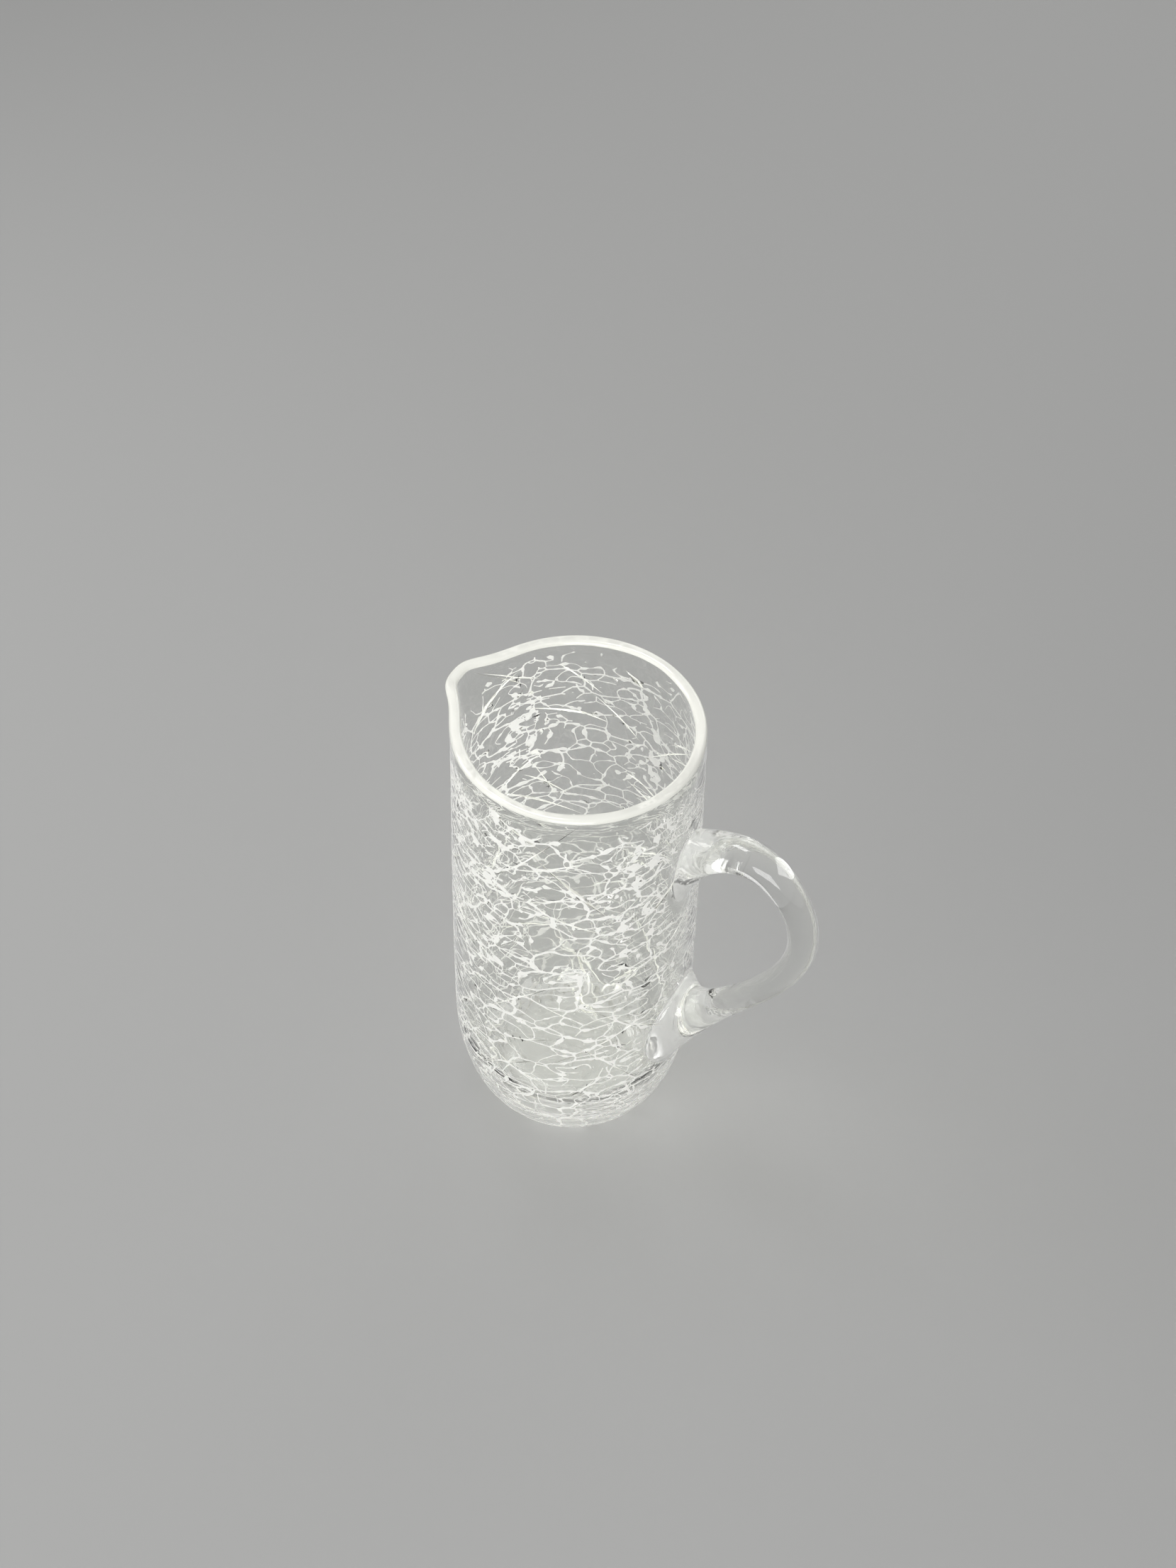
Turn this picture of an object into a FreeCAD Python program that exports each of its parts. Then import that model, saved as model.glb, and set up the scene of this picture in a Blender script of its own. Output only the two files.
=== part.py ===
"""A one-litre crackle glass jug: a blown body with a pulled pouring lip and a drawn glass handle, fused into one piece.

Millimetres, +Z up. The origin is the centre of the flat foot on the table.
The handle points along +X and the pouring lip along -X, so the jug is symmetric about the XZ plane.
"""
import FreeCAD
import Part
import math
import os

from FreeCAD import Vector

# Blown body, outside
HEIGHT = 202.8
MOUTH_RADIUS = 44.4
BELLY_RADIUS = 46.3
BELLY_HEIGHT = 50.0
FOOT_RADIUS = 28.0

# Blown body, inside
WALL = 3.0
FLOOR = 7.0
FLOOR_RADIUS = 17.0

# Fire-polished lip
LIP_THICKNESS = 4.2
LIP_DEPTH = 9.0
LIP_ROUND = 1.5

# Pouring lip: how far it is pulled out, its half-width in degrees, its depth down the wall and how fast it fades there
SPOUT_REACH = 8.6
SPOUT_HALF_WIDTH = 13.5
SPOUT_SHARPNESS = 3.2
SPOUT_DEPTH = 34.0
SPOUT_FADE = 2.6

# Centreline of the handle: its upper root below the rim and its lower root above the table, then the turning points
# between them, each with its reach from the wall and its height from the nearer root
UPPER_ROOT_DEPTH = 45.3
LOWER_ROOT_HEIGHT = 65.5
UPPER_BEND_REACH = 6.2
UPPER_BEND_RISE = 8.7
CREST_REACH = 25.3
CREST_RISE = 14.8
SHOULDER_REACH = 42.6
SHOULDER_DROP = 1.6
LOWER_BEND_REACH = 10.1
LOWER_BEND_RISE = 10.9

# Half-thickness of the rod, from the upper root to the lower root, and how much wider it is across
UPPER_ROD = 7.6
CREST_ROD = 5.5
BEND_ROD = 4.9
LOWER_ROD = 5.4
ROD_FLATTENING = 1.08

# Pads where the hot rod was pressed on the wall: half-width, half-height, sag, and how far the flare runs up the rod
UPPER_PAD_HALF_WIDTH = 9.0
UPPER_PAD_HALF_HEIGHT = 17.3
UPPER_PAD_SAG = 4.7
UPPER_PAD_FLARE = 4.4
LOWER_PAD_HALF_WIDTH = 17.8
LOWER_PAD_HALF_HEIGHT = 21.5
LOWER_PAD_SAG = 3.0
LOWER_PAD_FLARE = 8.0
PAD_EDGE = 0.8
PAD_DEPTH = 9.0
PAD_TURN = 25.0

# Sampling: degrees between outline points round the body and in the pouring lip, and numbers of sections
BODY_STEP = 24.0
SPOUT_STEP = 6.0
SPOUT_SPAN = 36.0
BOTTOM_SECTIONS = 7
WALL_SECTIONS = 3
SPOUT_SECTIONS = 6
ROD_POINTS = 12
ROD_SECTIONS = 11
ROOT_STATIONS = (0.0, 1.6, 4.2, 8.2, 14.2)


def ease(share):
    """Rises smoothly from 0 to 1 as share does."""
    share = min(max(share, 0.0), 1.0)
    return share * share * (3.0 - 2.0 * share)


def wall_radius(height):
    """Outside radius of the round body above the belly, which narrows gently to the mouth."""
    share = (height - BELLY_HEIGHT) / (HEIGHT - BELLY_HEIGHT)
    return BELLY_RADIUS - (BELLY_RADIUS - MOUTH_RADIUS) * share * share


def spout_share(height):
    """How far the glass is pulled into the pouring lip at this height: 0 below it, 1 at the rim."""
    share = (height - HEIGHT + SPOUT_DEPTH) / SPOUT_DEPTH
    return max(share, 0.0) ** SPOUT_FADE


def closed_curve(points, shares):
    """A smooth closed curve through the points. Shares are their places along the turn."""
    curve = Part.BSplineCurve()
    curve.interpolate(Points=points, PeriodicFlag=True, Parameters=shares + [shares[0] + 1.0])
    return curve


def skin(rings, places):
    """A solid with a smooth skin over closed curves that share their knots. Places are the distances along it."""
    ribs = []
    for poles in zip(*[ring.getPoles() for ring in rings]):
        rib = Part.BSplineCurve()
        rib.interpolate(Points=list(poles), Parameters=places)
        ribs.append(rib)
    surface = Part.BSplineSurface()
    surface.buildFromPolesMultsKnots(
        [rib.getPoles() for rib in ribs],
        rings[0].getMultiplicities(),
        ribs[0].getMultiplicities(),
        rings[0].getKnots(),
        ribs[0].getKnots(),
        True,
        False,
        rings[0].Degree,
        ribs[0].Degree,
    )
    side = surface.toShape()
    caps = [Part.Face(Part.Wire([edge])) for edge in side.Edges if edge.isClosed()]
    shell = Part.Shell([side] + caps)
    shell.sewShape()
    return Part.Solid(Part.Shell(shell.Faces))


def outline_angles():
    """Angles of the outline's points in degrees from +X, from one side of the pouring lip round to the other."""
    spout_count = int(round(2.0 * SPOUT_SPAN / SPOUT_STEP))
    body_count = int(round((360.0 - 2.0 * SPOUT_SPAN) / BODY_STEP))
    spout = [180.0 - SPOUT_SPAN + 2.0 * SPOUT_SPAN * i / spout_count for i in range(spout_count)]
    body = [180.0 + SPOUT_SPAN + (360.0 - 2.0 * SPOUT_SPAN) * i / body_count for i in range(body_count)]
    return spout + body


def outline(height, radius, inset):
    """A closed outline at this height: a circle that bulges into the pouring lip towards -X, moved in by the inset."""
    pulled = spout_share(height)
    points = []
    for angle in outline_angles():
        turn = math.radians(angle)
        outwards = Vector(math.cos(turn), math.sin(turn), 0)
        around = Vector(-math.sin(turn), math.cos(turn), 0)
        aside = min(angle - 180.0, 540.0 - angle) if angle > 360.0 else angle - 180.0
        from_spout = abs(aside) / SPOUT_HALF_WIDTH
        shape = 1.0 / (1.0 + from_spout ** SPOUT_SHARPNESS)
        reach = radius + SPOUT_REACH * pulled * shape
        steepness = SPOUT_SHARPNESS * from_spout ** (SPOUT_SHARPNESS - 1.0) * shape * shape
        slope = -math.copysign(SPOUT_REACH * pulled * steepness / math.radians(SPOUT_HALF_WIDTH), aside)
        normal = (outwards * reach - around * slope).normalize()
        points.append(outwards * reach - normal * inset + Vector(0, 0, height))
    return closed_curve(points, [angle / 360.0 for angle in outline_angles()])


def bottom_stations(foot_radius, foot_height, side_radius):
    """Heights and radii of the rounded bottom from its flat up to the belly, along a quarter of an ellipse."""
    stations = []
    for i in range(BOTTOM_SECTIONS):
        turn = 0.5 * math.pi * i / BOTTOM_SECTIONS
        radius = foot_radius + (side_radius - foot_radius) * math.sin(turn)
        height = BELLY_HEIGHT - (BELLY_HEIGHT - foot_height) * math.cos(turn)
        stations.append((height, radius))
    return stations


def wall_heights():
    """Heights of the sections of the wall, from the belly up to the rim, closer together in the pouring lip."""
    spout_start = HEIGHT - SPOUT_DEPTH
    plain = [BELLY_HEIGHT + (spout_start - BELLY_HEIGHT) * i / WALL_SECTIONS for i in range(WALL_SECTIONS)]
    pulled = [spout_start + SPOUT_DEPTH * i / SPOUT_SECTIONS for i in range(SPOUT_SECTIONS + 1)]
    return plain + pulled


def wall_thickness(height):
    """The wall thickens into the lip near the rim."""
    return WALL + (LIP_THICKNESS - WALL) * ease((height - HEIGHT + LIP_DEPTH) / LIP_DEPTH)


def make_vessel(stations):
    """A filled body over its stations, each with its height, radius and how far its outline moves in."""
    rings = [outline(height, radius, inset) for height, radius, inset in stations]
    places = [0.0]
    for low, high in zip(stations, stations[1:]):
        places.append(places[-1] + math.hypot(high[0] - low[0], high[1] - low[1]))
    return skin(rings, places)


def make_outside():
    """The filled outer form of the blown body."""
    bottom = [(h, r, 0.0) for h, r in bottom_stations(FOOT_RADIUS, 0.0, BELLY_RADIUS)]
    return make_vessel(bottom + [(h, wall_radius(h), 0.0) for h in wall_heights()])


def make_cavity():
    """The hollow of the body, open at the rim."""
    bottom = [(h, r, 0.0) for h, r in bottom_stations(FLOOR_RADIUS, FLOOR, BELLY_RADIUS - WALL)]
    return make_vessel(bottom + [(h, wall_radius(h), wall_thickness(h)) for h in wall_heights()])


def make_handle_path():
    """Centreline of the handle in the XZ plane, as a smooth curve through its turning points."""
    upper_root = HEIGHT - UPPER_ROOT_DEPTH
    points = [
        Vector(wall_radius(upper_root), 0, upper_root),
        Vector(BELLY_RADIUS + UPPER_BEND_REACH, 0, upper_root + UPPER_BEND_RISE),
        Vector(BELLY_RADIUS + CREST_REACH, 0, upper_root + CREST_RISE),
        Vector(BELLY_RADIUS + SHOULDER_REACH, 0, upper_root - SHOULDER_DROP),
        Vector(BELLY_RADIUS + LOWER_BEND_REACH, 0, LOWER_ROOT_HEIGHT + LOWER_BEND_RISE),
        Vector(wall_radius(LOWER_ROOT_HEIGHT), 0, LOWER_ROOT_HEIGHT),
    ]
    curve = Part.BSplineCurve()
    curve.interpolate(Points=points)
    return curve


def rod_size(share):
    """Half-thickness of the rod at this share of its length, between its four named sizes."""
    sizes = (UPPER_ROD, CREST_ROD, BEND_ROD, LOWER_ROD)
    place = min(max(share, 0.0), 1.0) * (len(sizes) - 1)
    start = min(int(place), len(sizes) - 2)
    return sizes[start] + (sizes[start + 1] - sizes[start]) * ease(place - start)


def section(centre, tilt, half_height, half_width, wrap):
    """An ellipse across the rod, tilt degrees up from facing +X. A wrap of 1 bends it round the wall, 0 leaves it flat."""
    turn = math.radians(tilt)
    across = Vector(-math.sin(turn), 0, math.cos(turn))
    points = []
    for i in range(ROD_POINTS):
        angle = 2.0 * math.pi * i / ROD_POINTS
        side = half_width * math.sin(angle)
        behind = BELLY_RADIUS - math.sqrt(BELLY_RADIUS ** 2 - side ** 2)
        points.append(centre + across * (half_height * math.cos(angle)) + Vector(-wrap * behind, side, 0))
    return closed_curve(points, [float(i) / ROD_POINTS for i in range(ROD_POINTS)])


def root_section(centre, tilt, square_on, rod, pad, from_wall):
    """The section of the rod at this distance from the wall: it spreads into the pad and turns square on to the wall."""
    half_width, half_height, sag, flare = pad
    near = math.exp(-max(from_wall - PAD_EDGE, 0.0) / flare)
    turned = square_on + (tilt - square_on) * ease(from_wall / PAD_TURN)
    slanted = rod / math.cos(math.radians(tilt - turned))
    half_width = rod * ROD_FLATTENING + (half_width - rod * ROD_FLATTENING) * near
    half_height = slanted + (half_height - slanted) * near
    centre = centre + Vector(min(from_wall, 0.0), 0, -sag * near)
    wrap = near if from_wall > 0.0 else 1.0 + from_wall / PAD_DEPTH
    return section(centre, turned, half_height, half_width, wrap)


def make_handle():
    """The drawn rod with a flared pad at each root. Its ends reach through the wall, where the cavity trims them."""
    path = make_handle_path()
    start = path.FirstParameter
    length = path.length(start, path.LastParameter)
    upper_pad = (UPPER_PAD_HALF_WIDTH, UPPER_PAD_HALF_HEIGHT, UPPER_PAD_SAG, UPPER_PAD_FLARE)
    lower_pad = (LOWER_PAD_HALF_WIDTH, LOWER_PAD_HALF_HEIGHT, LOWER_PAD_SAG, LOWER_PAD_FLARE)
    roots = [-PAD_DEPTH, -0.5 * PAD_DEPTH, 0.0] + [PAD_EDGE + station for station in ROOT_STATIONS]
    free_length = length - 2.0 * roots[-1]
    distances = roots + [roots[-1] + free_length * i / ROD_SECTIONS for i in range(1, ROD_SECTIONS)]
    distances += [length - distance for distance in reversed(roots)]
    sections = []
    for distance in distances:
        parameter = path.parameterAtDistance(min(max(distance, 0.0), length), start)
        direction = path.tangent(parameter)[0]
        tilt = math.degrees(math.atan2(direction.z, direction.x))
        tilt = tilt - 360.0 if tilt > 90.0 else tilt
        centre = path.value(parameter)
        rod = rod_size(distance / length)
        if distance < 0.5 * length:
            sections.append(root_section(centre, tilt, 0.0, rod, upper_pad, distance))
        else:
            sections.append(root_section(centre, tilt, -180.0, rod, lower_pad, length - distance))
    return skin(sections, distances)


def rim_edges(shape):
    """The two closed edges of the rim, outside and inside."""
    top = shape.BoundBox.ZMax
    high = [edge for edge in shape.Edges if edge.BoundBox.ZMin > top - 0.5 * LIP_ROUND]
    return [edge for edge in high if edge.BoundBox.XLength > MOUTH_RADIUS]


def make_jug():
    """The whole jug as one solid: body and handle fused, hollowed, and the rim rounded."""
    jug = make_outside().fuse(make_handle()).cut(make_cavity())
    return jug.makeFillet(LIP_ROUND, rim_edges(jug))


def main():
    """Writes the jug as one STEP file."""
    os.makedirs("parts", exist_ok=True)
    jug = make_jug()
    print("solids", len(jug.Solids), "valid", jug.isValid(), "volume", round(jug.Volume), jug.BoundBox)
    jug.exportStep("parts/jug.step")


main()
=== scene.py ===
import logging
import math
import random
from dataclasses import dataclass, field
from enum import IntEnum

import bmesh
import bpy
import numpy as np
from mathutils import Matrix, Vector, noise
from mathutils.kdtree import KDTree


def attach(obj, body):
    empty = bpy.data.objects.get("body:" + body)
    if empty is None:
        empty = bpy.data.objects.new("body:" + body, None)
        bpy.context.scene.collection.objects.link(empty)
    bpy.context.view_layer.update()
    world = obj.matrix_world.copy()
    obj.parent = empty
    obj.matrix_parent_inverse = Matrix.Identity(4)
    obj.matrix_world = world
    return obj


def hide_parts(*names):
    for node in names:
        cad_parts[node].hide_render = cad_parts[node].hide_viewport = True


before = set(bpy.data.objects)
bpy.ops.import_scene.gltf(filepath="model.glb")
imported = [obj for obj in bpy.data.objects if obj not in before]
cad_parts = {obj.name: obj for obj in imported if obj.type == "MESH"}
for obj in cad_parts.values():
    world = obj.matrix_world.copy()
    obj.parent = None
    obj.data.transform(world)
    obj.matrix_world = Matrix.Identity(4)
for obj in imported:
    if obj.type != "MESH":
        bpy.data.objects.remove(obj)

LOG = logging.getLogger("crackle_jug")
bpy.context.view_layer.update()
MM = 0.001
FULL_TURN = 2.0 * math.pi
QUARTER_TURN = 0.5 * math.pi


class Finish(IntEnum):
    """The material slots of the jug, in order."""

    CLEAR = 0
    # Crack faces and glint spots, painted white, partly as reflected light.
    CRACK_PAINTED_BRIGHT = 1
    # Top of the lip, painted cream white as a stand-in for the light reflected inside the rim.
    LIP_PAINTED_BRIGHT = 2
    # Foot, painted whitish as a stand-in for the light caught in the thick base.
    FOOT_PAINTED_BRIGHT = 3
    # Pads and rod ends, whitened partly for cloudy glass and partly as painted reflection.
    PAD_CLOUDY_AND_PAINTED = 4
    VEIL_AND_PAINTED = 5


def ease(share: float) -> float:
    """Rises smoothly from 0 to 1 as share does."""
    share = min(max(share, 0.0), 1.0)
    return share * share * (3.0 - 2.0 * share)


def half_turned(turn: float) -> float:
    """The same angle between minus and plus half a turn."""
    return (turn + math.pi) % FULL_TURN - math.pi


@dataclass(frozen=True)
class Waver:
    """A smooth random change: how large it gets, how wide its hills are, and which hills they are."""

    amount: float
    size: float
    seed: float

    def at(self, point: Vector) -> float:
        """The change at a point, from minus the amount to plus the amount."""
        shift = Vector((self.seed, 1.7 * self.seed, -0.9 * self.seed))
        return self.amount * noise.noise(point / self.size + shift)


@dataclass(frozen=True)
class Row:
    """One turn of the spun wall: its plain radius, its height, how far up the outside it is, and its side."""

    radius: float
    height: float
    climb: float
    outside: bool


@dataclass(frozen=True)
class GlassFinish:
    """A kind of glass: how it is tinted, how clear it is and how uneven its surface is."""

    name: str
    tint: tuple[float, float, float]
    shade: tuple[float, float, float]
    transmission: float
    roughness: tuple[float, float]
    patch_size: float
    bump_height: float
    shadow: tuple[float, float, float]
    gloss: float = 0.5
    glow: float = 0.0
    edge_light: float = 0.0
    edge_roughness: float = 0.25
    ior: float = 1.5

    def material(self) -> bpy.types.Material:
        """Builds the material.

        Returns:
            A material with one glass shader, and a clear one that lets the lamps' light through.
        """
        material = bpy.data.materials.new(self.name)
        material.use_nodes = True
        nodes, links = material.node_tree.nodes, material.node_tree.links
        nodes.clear()
        place = nodes.new("ShaderNodeTexCoord")
        uneven = nodes.new("ShaderNodeGroup")
        uneven.node_tree = uneven_glass_group()
        uneven.inputs["Patch Size"].default_value = self.patch_size
        uneven.inputs["Bump Height"].default_value = self.bump_height
        uneven.inputs["Tint"].default_value = (*self.tint, 1.0)
        uneven.inputs["Shade"].default_value = (*self.shade, 1.0)
        uneven.inputs["Smoothest"].default_value = self.roughness[0]
        uneven.inputs["Roughest"].default_value = self.roughness[1]
        glass = nodes.new("ShaderNodeBsdfPrincipled")
        glass.inputs["IOR"].default_value = self.ior
        glass.inputs["Metallic"].default_value = 0.0
        glass.inputs["Transmission Weight"].default_value = self.transmission
        glass.inputs["Specular IOR Level"].default_value = self.gloss
        glass.inputs["Sheen Weight"].default_value = self.edge_light
        glass.inputs["Sheen Roughness"].default_value = self.edge_roughness
        through = nodes.new("ShaderNodeBsdfTransparent")
        through.inputs["Color"].default_value = (*self.shadow, 1.0)
        path = nodes.new("ShaderNodeLightPath")
        mix = nodes.new("ShaderNodeMixShader")
        out = nodes.new("ShaderNodeOutputMaterial")
        links.new(place.outputs["Object"], uneven.inputs["Place"])
        links.new(uneven.outputs["Color"], glass.inputs["Base Color"])
        links.new(uneven.outputs["Roughness"], glass.inputs["Roughness"])
        links.new(uneven.outputs["Normal"], glass.inputs["Normal"])
        links.new(path.outputs["Is Shadow Ray"], mix.inputs["Fac"])
        links.new(self.body_shader(nodes, links, glass, uneven), mix.inputs[1])
        links.new(through.outputs["BSDF"], mix.inputs[2])
        links.new(mix.outputs["Shader"], out.inputs["Surface"])
        return material

    def body_shader(
        self,
        nodes: bpy.types.Nodes,
        links: bpy.types.NodeLinks,
        glass: bpy.types.Node,
        uneven: bpy.types.Node,
    ) -> bpy.types.NodeSocket:
        """Adds the light that shows through a crack face or a whitish painted face from behind.

        Args:
            nodes: The material's nodes.
            links: The material's links.
            glass: The glass shader.
            uneven: The uneven surface, for its colour.

        Returns:
            The shader's output.
        """
        if self.glow <= 0.0:
            return glass.outputs["BSDF"]
        side = nodes.new("ShaderNodeNewGeometry")
        share = nodes.new("ShaderNodeMath")
        share.operation = "MULTIPLY"
        share.inputs[1].default_value = self.glow
        behind = nodes.new("ShaderNodeBsdfTranslucent")
        both = nodes.new("ShaderNodeMixShader")
        links.new(side.outputs["Backfacing"], share.inputs[0])
        links.new(share.outputs[0], both.inputs["Fac"])
        links.new(uneven.outputs["Color"], behind.inputs["Color"])
        links.new(glass.outputs["BSDF"], both.inputs[1])
        links.new(behind.outputs["BSDF"], both.inputs[2])
        return both.outputs["Shader"]


def uneven_glass_group() -> bpy.types.NodeTree:
    """The uneven surface of hand-made glass, as one node group that each finish uses.

    Returns:
        The group, with a colour, a roughness and a normal as its outputs.
    """
    if "Uneven glass" in bpy.data.node_groups:
        return bpy.data.node_groups["Uneven glass"]
    group = bpy.data.node_groups.new("Uneven glass", "ShaderNodeTree")
    face = group.interface
    for name, way, kind in (
        ("Place", "INPUT", "NodeSocketVector"),
        ("Patch Size", "INPUT", "NodeSocketFloat"),
        ("Bump Height", "INPUT", "NodeSocketFloat"),
        ("Smoothest", "INPUT", "NodeSocketFloat"),
        ("Roughest", "INPUT", "NodeSocketFloat"),
        ("Tint", "INPUT", "NodeSocketColor"),
        ("Shade", "INPUT", "NodeSocketColor"),
        ("Color", "OUTPUT", "NodeSocketColor"),
        ("Roughness", "OUTPUT", "NodeSocketFloat"),
        ("Normal", "OUTPUT", "NodeSocketVector"),
    ):
        face.new_socket(name, in_out=way, socket_type=kind)
    nodes, links = group.nodes, group.links
    given = nodes.new("NodeGroupInput")
    result = nodes.new("NodeGroupOutput")
    scale = nodes.new("ShaderNodeMath")
    scale.operation = "DIVIDE"
    scale.inputs[0].default_value = 1.0
    patches = nodes.new("ShaderNodeTexNoise")
    patches.inputs["Detail"].default_value = 3.0
    wavy = nodes.new("ShaderNodeTexNoise")
    wavy.inputs["Detail"].default_value = 1.5
    wavy_scale = nodes.new("ShaderNodeMath")
    wavy_scale.operation = "MULTIPLY"
    wavy_scale.inputs[1].default_value = 0.45
    colour = nodes.new("ShaderNodeMix")
    colour.data_type = "RGBA"
    rough = nodes.new("ShaderNodeMapRange")
    rough.inputs["From Min"].default_value = 0.35
    rough.inputs["From Max"].default_value = 0.7
    bump = nodes.new("ShaderNodeBump")
    bump.inputs["Strength"].default_value = 1.0
    links.new(given.outputs["Patch Size"], scale.inputs[1])
    links.new(scale.outputs[0], patches.inputs["Scale"])
    links.new(scale.outputs[0], wavy_scale.inputs[0])
    links.new(wavy_scale.outputs[0], wavy.inputs["Scale"])
    links.new(given.outputs["Place"], patches.inputs["Vector"])
    links.new(given.outputs["Place"], wavy.inputs["Vector"])
    links.new(patches.outputs["Fac"], colour.inputs["Factor"])
    links.new(given.outputs["Tint"], colour.inputs["A"])
    links.new(given.outputs["Shade"], colour.inputs["B"])
    links.new(patches.outputs["Fac"], rough.inputs["Value"])
    links.new(given.outputs["Smoothest"], rough.inputs["To Min"])
    links.new(given.outputs["Roughest"], rough.inputs["To Max"])
    links.new(wavy.outputs["Fac"], bump.inputs["Height"])
    links.new(given.outputs["Bump Height"], bump.inputs["Distance"])
    links.new(colour.outputs["Result"], result.inputs["Color"])
    links.new(rough.outputs["Result"], result.inputs["Roughness"])
    links.new(bump.outputs["Normal"], result.inputs["Normal"])
    return group


@dataclass
class BlownBody:
    """The blown wall with its rounded bottom, its fire-polished lip and its pulled pouring lip."""

    height: float = 202.8 * MM
    mouth_radius: float = 44.4 * MM
    belly_radius: float = 46.3 * MM
    belly_height: float = 50.0 * MM
    foot_radius: float = 28.0 * MM
    wall: float = 3.0 * MM
    floor: float = 7.0 * MM
    floor_radius: float = 17.0 * MM
    lip_thickness: float = 4.2 * MM
    lip_depth: float = 9.0 * MM
    lip_round: float = 1.5 * MM
    lip_swells: tuple[Waver, ...] = (Waver(0.35 * MM, 0.5, 1.1), Waver(0.12 * MM, 0.12, 4.2))
    lip_dip: Waver = Waver(0.1 * MM, 0.35, 8.8)
    spout_reach: float = 8.33 * MM
    spout_half_width: float = math.radians(13.5)
    spout_sharpness: float = 3.2
    spout_depth: float = 34.0 * MM
    spout_fade: float = 2.6
    columns: int = 188
    row_step: float = 1.25 * MM
    belly_steps: int = 120
    side_steps: int = 200
    lip_steps: int = 6
    inner_side_steps: int = 34
    inner_belly_steps: int = 18
    foot_rings: tuple[float, ...] = (0.0, 0.25, 0.5, 0.72, 0.88)
    floor_rings: tuple[float, ...] = (0.72, 0.45, 0.2, 0.0)
    rows: list[Row] = field(default_factory=list)
    outside_rows: list[Row] = field(default_factory=list)

    def side_radius(self, height: float) -> float:
        """Plain outside radius above the belly."""
        share = (height - self.belly_height) / (self.height - self.belly_height)
        return self.belly_radius - (self.belly_radius - self.mouth_radius) * share * share

    def plain_radius(self, height: float) -> float:
        """Plain outside radius at any height.

        Args:
            height: The height above the table.

        Returns:
            The radius without the pouring lip.
        """
        if height >= self.belly_height:
            return self.side_radius(height)
        drop = (self.belly_height - height) / self.belly_height
        swell = math.sqrt(max(1.0 - drop**2, 0.0))
        return self.foot_radius + (self.belly_radius - self.foot_radius) * swell

    def wall_thickness(self, height: float) -> float:
        """The wall thickens into the lip near the rim."""
        share = (height - self.height + self.lip_depth) / self.lip_depth
        return self.wall + (self.lip_thickness - self.wall) * ease(share)

    def outer_profile(self) -> list[tuple[float, float]]:
        """Draws the outside of the half-section.

        Returns:
            Close points as radius and height, from the edge of the foot to the start of the lip's round edge.
        """
        points = []
        for i in range(self.belly_steps + 1):
            turn = QUARTER_TURN * i / self.belly_steps
            radius = self.foot_radius + (self.belly_radius - self.foot_radius) * math.sin(turn)
            points.append((radius, self.belly_height * (1.0 - math.cos(turn))))
        top = self.height - self.lip_round
        for i in range(1, self.side_steps + 1):
            height = self.belly_height + (top - self.belly_height) * i / self.side_steps
            points.append((self.side_radius(height), height))
        return points

    def even_rows(self) -> list[Row]:
        """Divides the outside into even steps.

        Returns:
            Its rows, from the foot up.
        """
        points = np.array(self.outer_profile())
        steps = np.hypot(*np.diff(points, axis=0).T)
        climbs = np.concatenate([[0.0], np.cumsum(steps)])
        count = int(round(climbs[-1] / self.row_step))
        even = np.linspace(0.0, climbs[-1], count + 1)
        radii = np.interp(even, climbs, points[:, 0])
        heights = np.interp(even, climbs, points[:, 1])
        return [Row(float(r), float(h), float(c), True) for r, h, c in zip(radii, heights, even)]

    def lip_rows(self, climb: float) -> list[Row]:
        """Rounds the lip, from the outside to the inside.

        Args:
            climb: How far up the outside its top row is.

        Returns:
            The rows over the lip.
        """
        bend = self.lip_round
        outer = self.mouth_radius - bend
        inner = self.mouth_radius - self.lip_thickness + bend
        level = self.height - bend
        arcs = [(outer, QUARTER_TURN * i / self.lip_steps) for i in range(1, self.lip_steps + 1)]
        arcs += [(inner, QUARTER_TURN * (1.0 + i / self.lip_steps)) for i in range(self.lip_steps + 1)]
        return [
            Row(middle + bend * math.cos(turn), level + bend * math.sin(turn), climb, False)
            for middle, turn in arcs
        ]

    def inner_rows(self, climb: float) -> list[Row]:
        """Goes down the inside, from the lip to the middle of the floor.

        Args:
            climb: How far up the outside its top row is.

        Returns:
            The rows of the inside.
        """
        rows = []
        top = self.height - self.lip_round
        heights = [top - self.lip_depth * i / self.lip_steps for i in range(1, self.lip_steps + 1)]
        bottom = heights[-1]
        for i in range(1, self.inner_side_steps + 1):
            heights.append(bottom - (bottom - self.belly_height) * i / self.inner_side_steps)
        for height in heights:
            rows.append(Row(self.side_radius(height) - self.wall_thickness(height), height, climb, False))
        side = self.belly_radius - self.wall
        for i in range(1, self.inner_belly_steps + 1):
            turn = QUARTER_TURN * (1.0 - i / self.inner_belly_steps)
            radius = self.floor_radius + (side - self.floor_radius) * math.sin(turn)
            height = self.belly_height - (self.belly_height - self.floor) * math.cos(turn)
            rows.append(Row(radius, height, climb, False))
        return rows + [Row(self.floor_radius * share, self.floor, climb, False) for share in self.floor_rings]

    def all_rows(self) -> list[Row]:
        """Puts the whole half-section together.

        Returns:
            Its rows, from the middle of the foot round to the middle of the floor.
        """
        foot = [Row(self.foot_radius * share, 0.0, 0.0, False) for share in self.foot_rings]
        outside = self.even_rows()
        top = outside[-1].climb
        return foot + outside + self.lip_rows(top) + self.inner_rows(top)

    def spout_share(self, height: float) -> float:
        """How far the glass is pulled into the pouring lip at this height."""
        below_rim = max(self.height - height, self.lip_round)
        return max(1.0 - below_rim / self.spout_depth, 0.0) ** self.spout_fade

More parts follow.
